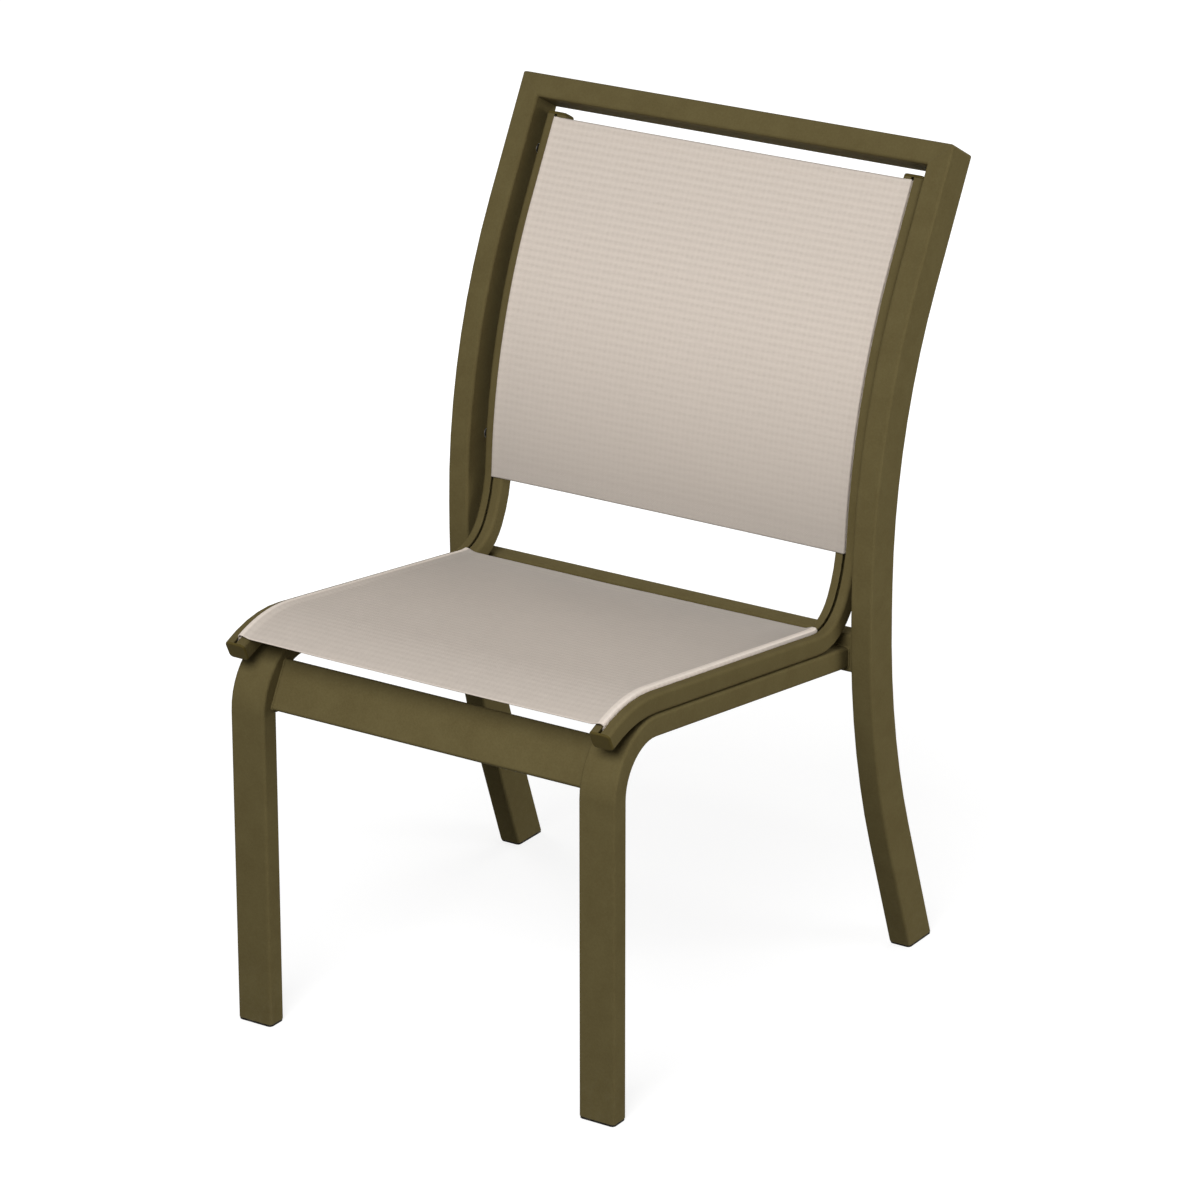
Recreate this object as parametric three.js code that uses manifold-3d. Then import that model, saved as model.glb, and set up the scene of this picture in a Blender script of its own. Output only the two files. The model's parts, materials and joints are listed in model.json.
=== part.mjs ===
// A stacking sling patio chair: a welded frame of flat tubes that carries two bent sling rails,
// with one stretched panel of mesh for the seat and one for the back.
// Millimetres and degrees. +X is the chair's left to right, +Y its back, +Z up.
import * as THREE from 'three';
import { mergeVertices } from 'three/addons/utils/BufferGeometryUtils.js';
import Module from 'manifold-3d';

const wasm = await Module();
wasm.setup();

// Overall
const overallWidth = 528; // across the outer faces of the back posts
const seatFrontHeight = 422.9; // top of the sling rails at their front ends
const backLean = 28.7; // of the top of the back, from vertical
const seatFall = 7.7; // of the seat towards its back, from level

// Clearances
const fit = 0.3; // between pieces that touch
const facetSag = 0.3; // most that a facet cuts off a bend
const overrun = 5; // that a cutting tool runs past what it cuts

// Back posts and top rail, one rectangular tube
const postWidth = 25.4;
const postDepth = 45;
const postWall = 2;
const postCorner = 3.5;
const postTopStraight = 141.2;
const postBackBend = 670; // radius of the front face where the post leans back
const postUprightRun = 30;
const postLegBend = 788; // radius of the front face where the rear leg sweeps back
const rearLegLean = 20; // of the rear leg, from vertical
const topCornerRound = 4.5; // ground on the mitred corners

// Front legs, each in one tube with its side rail
const legWidth = 42;
const legDepth = 23.2;
const legWall = 2;
const legCorner = 3.5;
const kneeRadius = 72; // of the outer face
const legToPost = 6.6; // between a leg's outer plane and the post's inner face

// Front apron, a flat tube that leans back between the knees
const apronHeight = 54;
const apronThickness = 12.7;
const apronWall = 1.6;
const apronCorner = 3;
const apronLean = 28.6;
const apronRecess = 17; // from the knee's outer face
const apronRise = 4.7; // of its middle above the knee's centre, along its face

// Rear crossbar, upright between the posts
const crossbarInset = 10.4; // behind the front faces of the posts
const crossbarRise = 4.4; // of its middle above the middle of the side rails

// Sling rails, one bent extrusion each, from the front of the seat to the top of the back
const railWidth = 24;
const railDepth = 21;
const railWall = 1.8;
const railCorner = 4;
const railInset = 1; // inside the legs' outer planes
const railLift = 0.8; // above the side rails
const railOverhang = 6.3; // in front of the front legs
const railNoseBend = 155;
const railNoseRise = 26; // of its front end, from level
const railSeatRun = 311.8;
const railHipBend = 49;
const railHipTurn = 60; // heading where the tight bend passes into the wider one
const railLumbarBend = 124;
const railLumbarTurn = 87; // heading where the wide bend ends
const railBackBend = 648;
const railBackRun = 95.2;
const railToTopRail = 9.7; // from the top cap to the top rail
const slotWidth = 3.5;
const slotDepth = 2;
const postRecess = 15.3; // of the rails behind the front faces of the posts

// Slings and the rods in their side hems
const clothThickness = 1.4;
const clothRoll = 1.6; // that the cloth rises beside the slots
const clothRollWidth = 12;
const seatSag = 1;
const backSag = 2;
const rodDiameter = 4.4;
const hemThickness = 0.9;
const seatClothStart = 8; // from the front ends of the rails
const seatClothPastBend = 11; // of its rear edge past the start of the tight bend
const backClothBelowBend = 11.3; // of its lower edge before the end of the wide bend
const backClothToTop = 3.1; // from its upper edge to the ends of the rails

// Caps on the rails' ends
const frontCapHeight = 2;
const topCapHeight = 3;
const capDrawShare = 0.12; // of the cap's width that its dome draws in
const capTongue = 12;

// Spreaders
const spreaderWidth = 22;
const spreaderThickness = 10;
const spreaderWall = 1.5;
const spreaderCorner = 4;
const spreaderBow = 14;
const spreaderFlange = 3;
const spreaderTongue = 8;
const spreaderPin = 6.5;
const seatSpreaderAt = 190; // behind the start of the seat's straight run
const backSpreaderAt = 130; // above the wide bend

// Fasteners
const boltDiameter = 5;
const headDiameter = 10;
const headHeight = 3;
const headDome = 60; // of its profile's arc, from the rim to the flat
const socketAcross = 3;
const socketDepth = 1.6;
const spacerDiameter = 11.5;
const rivetNutFlange = 1;
const rivetNutRim = 1.2;
const rivetNutWall = 1.4;
const rivetNutLength = 11;
const seatNutSide = 9;
const seatNutThickness = 3.4;
const seatNutProud = 0.8; // of a seat bolt's tip past its nut
const upperBoltFromTop = 37; // from the ends of the rails
const lowerBoltAboveBend = 31;
const frontSeatBoltAt = 50; // behind the start of the seat's straight run
const rearSeatBoltAt = 245;

// Foot glides
const glideHeight = 2.5;
const glideInset = 0.4;
const glidePlug = 14;

// Counts of facets
const cornerSteps = 3;
const bluntSteps = 2; // on corners that little shows of
const channelSteps = 8;
const hemSteps = 8;
const roundSteps = 12;
const clothSteps = 4;
const rollSteps = 2;
const capSteps = 3;
const spreaderSteps = 10;
const widestStep = 8.5; // degrees of a bend that one facet takes

// Places across the chair, from its middle
const postOuter = overallWidth / 2;
const postMiddle = postOuter - postWidth / 2;
const postInner = postOuter - postWidth;
const legOuter = postInner - legToPost;
const legMiddle = legOuter - legWidth / 2;
const legInner = legOuter - legWidth;
const railOuter = legOuter - railInset;
const railMiddle = railOuter - railWidth / 2;
const railInner = railOuter - railWidth;

// The sling rail's keyhole and chamber, from the rod outwards
const rodRadius = rodDiameter / 2;
const hemBore = rodRadius + fit;
const hemRadius = hemBore + hemThickness;
const channelRadius = hemRadius + fit;
const channelRing = channelRadius + railWall;
const channelDepth = slotDepth + Math.sqrt(channelRadius ** 2 - (slotWidth / 2) ** 2);
const chamberTop = channelDepth + channelRing;
const chamberBottom = railDepth - railWall;
const chamberMiddle = (chamberTop + chamberBottom) / 2;
const chamberHalf = railWidth / 2 - railWall;

const across = new THREE.Vector3(1, 0, 0);
const up = new THREE.Vector3(0, 0, 1);
const radians = THREE.MathUtils.degToRad;

// Materials
const paint = new THREE.MeshStandardMaterial({ color: 0x655b3c, roughness: 0.55, metalness: 0.25 });
const railPaint = new THREE.MeshStandardMaterial({ color: 0x5f5537, roughness: 0.5, metalness: 0.3 });
const slingMesh = new THREE.MeshStandardMaterial({ color: 0xcdc2b4, roughness: 0.9, metalness: 0 });
const blackPlastic = new THREE.MeshStandardMaterial({ color: 0x26241e, roughness: 0.6, metalness: 0 });
const rodPlastic = new THREE.MeshStandardMaterial({ color: 0xdedad0, roughness: 0.5, metalness: 0 });
const steel = new THREE.MeshStandardMaterial({ color: 0xa9a9a6, roughness: 0.35, metalness: 0.9 });

const chair = new THREE.Group();

function add(name, geometry, material) {
  geometry.computeVertexNormals();
  const piece = new THREE.Mesh(geometry, material);
  piece.name = name;
  chair.add(piece);
  return piece;
}

// Joining and cutting closed meshes
function toSolid(geometry) {
  const bare = geometry.clone();
  bare.deleteAttribute('normal');
  bare.deleteAttribute('uv');
  const merged = mergeVertices(bare);
  return new wasm.Manifold(new wasm.Mesh({
    numProp: 3,
    vertProperties: new Float32Array(merged.attributes.position.array),
    triVerts: new Uint32Array(merged.index.array),
  }));
}

function toGeometry(solid) {
  const result = solid.getMesh();
  const geometry = new THREE.BufferGeometry();
  geometry.setAttribute('position', new THREE.BufferAttribute(new Float32Array(result.vertProperties), 3));
  geometry.setIndex(new THREE.BufferAttribute(new Uint32Array(result.triVerts), 1));
  return geometry;
}

function cut(geometry, tools) {
  const solid = tools.reduce((rest, tool) => rest.subtract(toSolid(tool)), toSolid(geometry));
  return toGeometry(solid);
}

function join(first, second) {
  return toGeometry(toSolid(first).add(toSolid(second)));
}

// A station carries a section: its point, the way across, the way into the depth and the way along.
function station(point, heading, length) {
  const along = new THREE.Vector3(0, Math.cos(radians(heading)), Math.sin(radians(heading)));
  return { point, across: across.clone(), depth: along.clone().cross(across), along, length };
}

// Walks a line in the side plane through straight runs and bends, turning left where turn is positive.
function walk(start, startHeading, stretches) {
  const stations = [station(start, startHeading, 0)];
  let heading = startHeading;
  for (const { run, radius, turn } of stretches) {
    const last = stations[stations.length - 1];
    if (run !== undefined) {
      const point = last.point.clone().addScaledVector(last.along, run);
      stations.push(station(point, heading, last.length + run));
      continue;
    }
    const angle = Math.abs(radians(turn));
    const bySag = angle * Math.sqrt(radius / (8 * facetSag));
    const steps = Math.ceil(Math.max(Math.abs(turn) / widestStep, bySag));
    const side = -Math.sign(turn);
    const centre = last.point.clone().addScaledVector(last.depth, side * radius);
    for (let step = 1; step <= steps; step += 1) {
      const here = heading + (turn * step) / steps;
      const next = station(centre.clone(), here, last.length + (radius * angle * step) / steps);
      next.point.addScaledVector(next.depth, -side * radius);
      stations.push(next);
    }
    heading += turn;
  }
  return stations;
}

// The same line walked from its other end
function reversed(stations) {
  const total = stations[stations.length - 1].length;
  return stations.map(({ point, along, length }) => {
    const back = along.clone().negate();
    return { point, across: across.clone(), depth: back.clone().cross(across), along: back, length: total - length };
  }).reverse();
}

function movedAcross(stations, x) {
  return stations.map((each) => ({ ...each, point: each.point.clone().setX(x) }));
}

// A place on a line at a given length, on the facet that its neighbours share
function stationAt(stations, length) {
  let index = stations.findIndex((each) => each.length > length);
  if (index < 0) {
    index = stations.length - 1;
  }
  index = Math.max(index, 1);
  const before = stations[index - 1];
  const after = stations[index];
  const share = (length - before.length) / (after.length - before.length);
  return {
    point: before.point.clone().lerp(after.point, share),
    across: before.across.clone().lerp(after.across, share),
    depth: before.depth.clone().lerp(after.depth, share),
    along: before.along.clone().lerp(after.along, share),
    length,
  };
}

function between(stations, from, to) {
  const inside = stations.filter((each) => each.length > from + fit && each.length < to - fit);
  return [stationAt(stations, from), ...inside, stationAt(stations, to)];
}

// A station's section leaned along the line into a cutting plane
function mitred(each, normal) {
  const lean = (direction) => direction.clone()
    .addScaledVector(each.along, -direction.dot(normal) / each.along.dot(normal));
  return { ...each, across: lean(each.across), depth: lean(each.depth) };
}

function offsetFrom(each, x, depth, along = 0) {
  return each.point.clone()
    .addScaledVector(each.across, x)
    .addScaledVector(each.depth, depth)
    .addScaledVector(each.along, along);
}

// Sections are drawn across in x and into the depth in y, and swept from station to station.
class StationLine extends THREE.Curve {
  constructor(stations) {
    super();
    this.stations = stations;
  }

  getSpacedPoints() {
    return this.stations.map((each) => each.point.clone());
  }

  computeFrenetFrames() {
    return {
      tangents: this.stations.map((each) => each.along),
      normals: this.stations.map((each) => each.across),
      binormals: this.stations.map((each) => each.depth),
    };
  }
}

function sweep(section, stations) {
  const extrudePath = new StationLine(stations);
  return new THREE.ExtrudeGeometry(section, { steps: stations.length - 1, extrudePath, curveSegments: 1 });
}

function arc(x, y, radius, from, to, steps) {
  const points = [];
  for (let step = 0; step <= steps; step += 1) {
    const angle = radians(from + ((to - from) * step) / steps);
    points.push(new THREE.Vector2(x + radius * Math.cos(angle), y + radius * Math.sin(angle)));
  }
  return points;
}

function roundedBox(left, right, top, bottom, radius, steps) {
  return [
    ...arc(right - radius, top + radius, radius, -90, 0, steps),
    ...arc(right - radius, bottom - radius, radius, 0, 90, steps),
    ...arc(left + radius, bottom - radius, radius, 90, 180, steps),
    ...arc(left + radius, top + radius, radius, 180, 270, steps),
  ];
}

function box(left, right, top, bottom) {
  return [[right, top], [right, bottom], [left, bottom], [left, top]].map(([x, y]) => new THREE.Vector2(x, y));
}

// A tube's section between four sides, with a wall all round
function tubeSection(left, right, top, bottom, wall, corner, steps = cornerSteps) {
  const section = new THREE.Shape(roundedBox(left, right, top, bottom, corner, steps));
  section.holes.push(new THREE.Path(box(left + wall, right - wall, top + wall, bottom - wall)));
  return section;
}

// A section inside a tube's bore, or under its cut end
function plugSection(width, depth, inset, corner) {
  const half = width / 2 - inset;
  return new THREE.Shape(roundedBox(-half, half, inset, depth - inset, corner, bluntSteps));
}

// Turned pieces: a profile of radius and height about an axis
function turned(profile, axis, steps = roundSteps) {
  const geometry = new THREE.LatheGeometry(profile.map(([r, h]) => new THREE.Vector2(r, h)), steps);
  const turn = new THREE.Quaternion().setFromUnitVectors(new THREE.Vector3(0, 1, 0), axis.clone().normalize());
  return geometry.applyQuaternion(turn);
}

function ring(outer, inner, height, axis) {
  return turned([[inner, 0], [outer, 0], [outer, height], [inner, height], [inner, 0]], axis);
}

function drill(radius, from, axis, length) {
  const tool = turned([[0, 0], [radius, 0], [radius, length], [0, length]], axis);
  return tool.translate(from.x, from.y, from.z);
}

// A button-head bolt that starts at the underside of its head and points along the axis
function bolt(shank, axis) {
  const radius = boltDiameter / 2;
  const rim = headDiameter / 2;
  const rise = headHeight / Math.sin(radians(headDome));
  const dome = arc(0, 0, 1, 0, headDome, bluntSteps).map(({ x, y }) => [rim * x, -rise * y]);
  const body = turned([[0, -headHeight], ...dome.reverse(), [radius, 0], [radius, shank], [0, shank]], axis);
  const socket = new THREE.CylinderGeometry(socketAcross / 2, socketAcross / 2, socketDepth + overrun, 6);
  socket.translate(0, -headHeight - (overrun - socketDepth) / 2, 0);
  const turn = new THREE.Quaternion().setFromUnitVectors(new THREE.Vector3(0, 1, 0), axis.clone().normalize());
  return cut(body, [socket.applyQuaternion(turn)]);
}

function place(piece, point) {
  piece.position.copy(point);
  return piece;
}

// The lines of the frame, drawn in the side plane with the front legs' front faces at y = 0.
// The sling rail's front and top surface comes first, and the rest of the frame follows it.
const railLine = walk(new THREE.Vector3(0, -railOverhang, seatFrontHeight), railNoseRise, [
  { radius: railNoseBend, turn: -(railNoseRise + seatFall) },
  { run: railSeatRun },
  { radius: railHipBend, turn: railHipTurn + seatFall },
  { radius: railLumbarBend, turn: railLumbarTurn - railHipTurn },
  { radius: railBackBend, turn: -(railLumbarTurn - 90 + backLean) },
  { run: railBackRun },
]);
const railEnd = railLine[railLine.length - 1];
const seatRunStart = railNoseBend * radians(railNoseRise + seatFall);
const hipStart = seatRunStart + railSeatRun;
const lumbarEnd = hipStart + railHipBend * radians(railHipTurn + seatFall)
  + railLumbarBend * radians(railLumbarTurn - railHipTurn);

// The back post's front face, from the middle of the top rail down to the floor
const topRailMiddle = topCapHeight + fit + railToTopRail + postWidth / 2;
const postTop = offsetFrom(railEnd, 0, -postRecess, topRailMiddle);
const topToUpright = [
  { run: postTopStraight - postWidth / 2 },
  { radius: postBackBend, turn: backLean },
  { run: postUprightRun },
];
const upright = walk(postTop, -90 - backLean, topToUpright).pop();
const rearLegDrop = upright.point.z - postLegBend * Math.sin(radians(rearLegLean));
const postLine = reversed(walk(postTop, -90 - backLean, [
  ...topToUpright,
  { radius: postLegBend, turn: rearLegLean },
  { run: rearLegDrop / Math.cos(radians(rearLegLean)) },
]));

// The front leg's front face and the side rail's top face, which lies under the sling rail
const seatRun = stationAt(railLine, seatRunStart + railSeatRun / 2);
const sideRailPoint = offsetFrom(seatRun, 0, railDepth + railLift);
const sideRailSlope = Math.tan(radians(seatFall));
const sideRailTop = (y) => sideRailPoint.z - (y - sideRailPoint.y) * sideRailSlope;
const kneeTurn = 90 + seatFall;
const kneeTangent = kneeRadius * Math.tan(radians(kneeTurn / 2));
const crossbarFront = upright.point.y + crossbarInset;
const legRise = sideRailTop(0) - kneeTangent;
const sideRailLength = (crossbarFront - fit) / Math.cos(radians(seatFall)) - kneeTangent;
const legLine = walk(new THREE.Vector3(0, 0, 0), 90, [
  { run: legRise },
  { radius: kneeRadius, turn: -kneeTurn },
  { run: sideRailLength },
]);

// The foot of a tube that stands on the floor is cut level, above its glide.
function footed(line, floorNormal, height) {
  const rise = line[0].along.dot(floorNormal);
  const foot = mitred(stationAt(line, height / rise), floorNormal);
  return [foot, ...line.filter((each) => each.length > foot.length + fit)];
}

function buildGlide(name, line, width, depth, wall, corner) {
  const floorEnd = mitred(line[0], up);
  const rise = line[0].along.dot(up);
  const seat = mitred(stationAt(line, glideHeight / rise), up);
  const plugFrom = mitred(stationAt(line, glideHeight / 2 / rise), up);
  const plugTo = stationAt(line, (glideHeight + glidePlug) / rise);
  const base = sweep(plugSection(width, depth, glideInset, corner), [floorEnd, seat]);
  const plug = sweep(plugSection(width, depth, wall + fit, corner), [plugFrom, plugTo]);
  add(name, join(base, plug), blackPlastic);
}

// Back posts with their mitred tops, and the top rail between them
const postSection = tubeSection(-postWidth / 2, postWidth / 2, 0, postDepth, postWall, postCorner);
const mitreSetback = fit * Math.SQRT1_2;
const topAlong = railEnd.along;
const topDepth = railEnd.depth;

// The tool that rounds a mitred corner, from a square with a quarter circle left out
function cornerTool(side) {
  const reach = topCornerRound + overrun;
  const outline = [
    ...arc(0, 0, topCornerRound, 0, 90, cornerSteps),
    new THREE.Vector2(0, reach),
    new THREE.Vector2(reach, reach),
    new THREE.Vector2(reach, 0),
  ];
  const corner = postTop.clone()
    .setX(side * (postOuter - topCornerRound))
    .addScaledVector(topAlong, postWidth / 2 - topCornerRound);
  const frameAt = (depth) => ({
    point: corner.clone().addScaledVector(topDepth, depth),
    across: across.clone().multiplyScalar(side),
    depth: topAlong,
    along: topDepth,
  });
  const ends = [frameAt(-overrun), frameAt(postDepth + overrun)];
  return sweep(new THREE.Shape(outline), side > 0 ? ends.reverse() : ends);
}

function boltPlaces(side) {
  return {
    upper: offsetFrom(stationAt(railLine, railEnd.length - upperBoltFromTop), 0, chamberMiddle),
    lower: offsetFrom(stationAt(railLine, lumbarEnd + lowerBoltAboveBend), 0, chamberMiddle),
    outwards: across.clone().multiplyScalar(side),
  };
}

function buildPost(side, word) {
  const line = movedAcross(postLine, side * postMiddle);
  const tube = footed(line, up, glideHeight);
  const mitreNormal = across.clone().multiplyScalar(side).sub(topAlong).normalize();
  const end = tube[tube.length - 1];
  end.point.addScaledVector(end.along, -mitreSetback);
  tube[tube.length - 1] = mitred(end, mitreNormal);
  const { upper, lower, outwards } = boltPlaces(side);
  const holeRadius = boltDiameter / 2 + rivetNutWall + fit * 2;
  const drills = [upper, lower].map((point) => (
    drill(holeRadius, point.clone().setX(side * (postInner - overrun)), outwards, overrun + postWall + fit)
  ));
  add(`back_post_${word}`, cut(sweep(postSection, tube), [...drills, cornerTool(side)]), paint);
  buildGlide(`rear_glide_${word}`, line, postWidth, postDepth, postWall, postCorner);
}

function buildTopRail() {
  const reach = postMiddle - mitreSetback;
  const endAt = (side) => ({
    point: postTop.clone().setX(side * reach),
    across: topDepth,
    depth: topAlong.clone().addScaledVector(across, side),
    along: across,
  });
  const section = tubeSection(0, postDepth, -postWidth / 2, postWidth / 2, postWall, postCorner);
  const rail = sweep(section, [endAt(-1), endAt(1)]);
  add('top_rail', cut(rail, [cornerTool(-1), cornerTool(1)]), paint);
}

// Front legs with their side rails
const legSection = tubeSection(-legWidth / 2, legWidth / 2, 0, legDepth, legWall, legCorner);
const seatBoltLengths = { front: seatRunStart + frontSeatBoltAt, rear: seatRunStart + rearSeatBoltAt };

function buildLeg(side, word) {
  const line = movedAcross(legLine, side * legMiddle);
  const tube = footed(line, up, glideHeight);
  const back = tube[tube.length - 1];
  tube[tube.length - 1] = mitred(back, new THREE.Vector3(0, 1, 0));
  const drills = Object.values(seatBoltLengths).map((length) => {
    const at = stationAt(railLine, length);
    const from = offsetFrom(at, side * railMiddle, railDepth - overrun);
    return drill(boltDiameter / 2 + fit, from, at.depth, legDepth + overrun * 3);
  });
  add(`front_leg_${word}`, cut(sweep(legSection, tube), drills), paint);
  buildGlide(`front_glide_${word}`, line, legWidth, legDepth, legWall, legCorner);
}

function buildApron() {
  const lean = radians(apronLean);
  const faceUp = new THREE.Vector3(0, Math.sin(lean), Math.cos(lean));
  const inwards = new THREE.Vector3(0, Math.cos(lean), -Math.sin(lean));
  const kneeCentre = new THREE.Vector3(0, kneeRadius, legRise);
  const faceMiddle = kneeCentre
    .addScaledVector(inwards, apronRecess - kneeRadius)
    .addScaledVector(faceUp, apronRise);
  const half = apronHeight / 2;
  const section = tubeSection(0, apronThickness, -half, half, apronWall, apronCorner);
  const ends = [-1, 1].map((side) => ({
    point: faceMiddle.clone().setX(side * (legInner - fit)),
    across: inwards,
    depth: faceUp,
    along: across,
  }));
  add('front_apron', sweep(section, ends), paint);
}

function buildCrossbar() {
  const middle = sideRailTop(crossbarFront) - legDepth / 2 / Math.cos(radians(seatFall)) + crossbarRise;
  const half = legWidth / 2;
  const section = tubeSection(0, legDepth, -half, half, legWall, legCorner);
  const ends = [-1, 1].map((side) => ({
    point: new THREE.Vector3(side * (postInner - fit), crossbarFront, middle),
    across: new THREE.Vector3(0, 1, 0),
    depth: up,
    along: across,
  }));
  add('rear_crossbar', sweep(section, ends), paint);
}

// The sling rail's section: a rounded box whose front wall carries a keyhole channel,
// with one chamber that wraps the channel's ring
function slingRailSection() {
  const half = railWidth / 2;
  const slot = slotWidth / 2;
  const neck = THREE.MathUtils.radToDeg(Math.asin(slot / channelRadius));
  const section = new THREE.Shape([
    new THREE.Vector2(slot, 0),
    ...roundedBox(-half, half, 0, railDepth, railCorner, cornerSteps),
    new THREE.Vector2(-slot, 0),
    ...arc(0, channelDepth, channelRadius, 270 - neck, neck - 90, channelSteps),
  ]);
  const shoulder = Math.sqrt(channelRing ** 2 - (channelDepth - railWall) ** 2);
  const start = THREE.MathUtils.radToDeg(Math.atan2(railWall - channelDepth, shoulder));
  section.holes.push(new THREE.Path([
    ...arc(0, channelDepth, channelRing, start, 180 - start, channelSteps),
    new THREE.Vector2(-chamberHalf, railWall),
    new THREE.Vector2(-chamberHalf, chamberBottom),
    new THREE.Vector2(chamberHalf, chamberBottom),
    new THREE.Vector2(chamberHalf, railWall),
  ]));
  return section;
}

function buildSlingRail(side, word) {
  const line = movedAcross(railLine, side * railMiddle);
  const { upper, lower, outwards } = boltPlaces(side);
  const holeRadius = boltDiameter / 2 + fit;
  const backDrills = [upper, lower].map((point) => (
    drill(holeRadius, point.clone().setX(side * (railInner - overrun)), outwards, railWidth + overrun * 2)
  ));
  const seatDrills = Object.values(seatBoltLengths).map((length) => {
    const at = stationAt(railLine, length);
    const from = offsetFrom(at, side * railMiddle, chamberBottom - fit);
    return drill(holeRadius, from, at.depth, overrun);
  });
  const pinDrills = spreaderLengths.map((length) => {
    const from = offsetFrom(stationAt(railLine, length), side * (railInner - overrun), chamberMiddle);
    return drill(spreaderPin / 2 + fit, from, outwards, overrun + railWall + fit * 3);
  });
  const rail = sweep(slingRailSection(), line);
  add(`sling_rail_${word}`, cut(rail, [...backDrills, ...seatDrills, ...pinDrills]), railPaint);
}

// A cap with a domed face, and a tongue that fits the chamber under the channel
function buildCap(name, end, x, outwards, height) {
  const half = railWidth / 2;
  const middle = railDepth / 2;
  const face = new THREE.Shape(roundedBox(-half, half, -middle, middle, railCorner, cornerSteps));
  const rings = [];
  for (let step = 0; step <= capSteps; step += 1) {
    const angle = radians((90 * step) / capSteps);
    const share = 1 - capDrawShare * (1 - Math.cos(angle));
    rings.push({
      point: offsetFrom(end, x, middle, outwards * (fit + height * Math.sin(angle))),
      across: end.across.clone().multiplyScalar(share),
      depth: end.depth.clone().multiplyScalar(share),
      along: end.along,
    });
  }
  const tongueHalf = chamberHalf - fit;
  const tongue = new THREE.Shape(box(-tongueHalf, tongueHalf, chamberTop + fit, chamberBottom - fit));
  const held = outwards > 0
    ? between(railLine, railEnd.length - capTongue, railEnd.length)
    : between(railLine, 0, capTongue);
  const inCap = { ...end, point: offsetFrom(end, 0, 0, outwards * (fit + height / 2)) };
  const path = movedAcross(outwards > 0 ? [...held, inCap] : [inCap, ...held], x);
  add(name, join(sweep(face, outwards > 0 ? rings : rings.reverse()), sweep(tongue, path)), blackPlastic);
}

// A sling's section: the sheet between the slots, a roll beside each slot, and a hem round each rod
function slingSection(sag) {
  const neck = hemThickness;
  const crown = (x) => {
    const roll = Math.max(0, (Math.abs(x) - railMiddle + clothRollWidth) / clothRollWidth);
    return sag * (1 - (x / railMiddle) ** 2) - clothRoll * roll ** 2 - fit - clothThickness / 2;
  };
  const places = [];
  for (let step = 0; step <= clothSteps; step += 1) {
    places.push(((railMiddle - clothRollWidth) * step) / clothSteps);
  }
  for (let step = 1; step <= rollSteps; step += 1) {
    places.push(railMiddle - clothRollWidth + ((clothRollWidth - neck) * step) / rollSteps);
  }
  const neckAngle = THREE.MathUtils.radToDeg(Math.asin(neck / hemRadius));
  const outline = (side) => {
    const top = places.map((x) => new THREE.Vector2(side * x, crown(x) - clothThickness / 2));
    const bottom = places.map((x) => new THREE.Vector2(side * x, crown(x) + clothThickness / 2));
    const hem = arc(railMiddle, channelDepth, hemRadius, neckAngle - 90, 270 - neckAngle, hemSteps)
      .map(({ x, y }) => new THREE.Vector2(side * x, y));
    const shoulderRadius = neck * 2;
    const shoulderDepth = top[top.length - 1].y + shoulderRadius;
    const shoulder = arc(railMiddle - neck, shoulderDepth, shoulderRadius, -90, 0, rollSteps)
      .map(({ x, y }) => new THREE.Vector2(side * x, y));
    return [...top, ...shoulder.slice(1), ...hem, ...bottom.reverse()];
  };
  const right = outline(1);
  const left = outline(-1).slice(1, -1).reverse();
  const section = new THREE.Shape([...right, ...left]);
  for (const side of [-1, 1]) {
    section.holes.push(new THREE.Path(arc(side * railMiddle, channelDepth, hemBore, 0, 360, hemSteps).slice(1)));
  }
  return section;
}

function buildSling(word, from, to, sag) {
  const cloth = between(railLine, from, to);
  add(`${word}_sling`, sweep(slingSection(sag), cloth), slingMesh);
  const rod = new THREE.Shape(arc(0, channelDepth, rodRadius, 0, 360, hemSteps).slice(1));
  for (const [side, sideWord] of [[-1, 'left'], [1, 'right']]) {
    add(`${word}_spline_${sideWord}`, sweep(rod, movedAcross(cloth, side * railMiddle)), rodPlastic);
  }
}

// A spreader bows away from the cloth between the two rails, with a plug in each end.
const spreaderLengths = [seatRunStart + seatSpreaderAt, lumbarEnd + backSpreaderAt];

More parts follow.
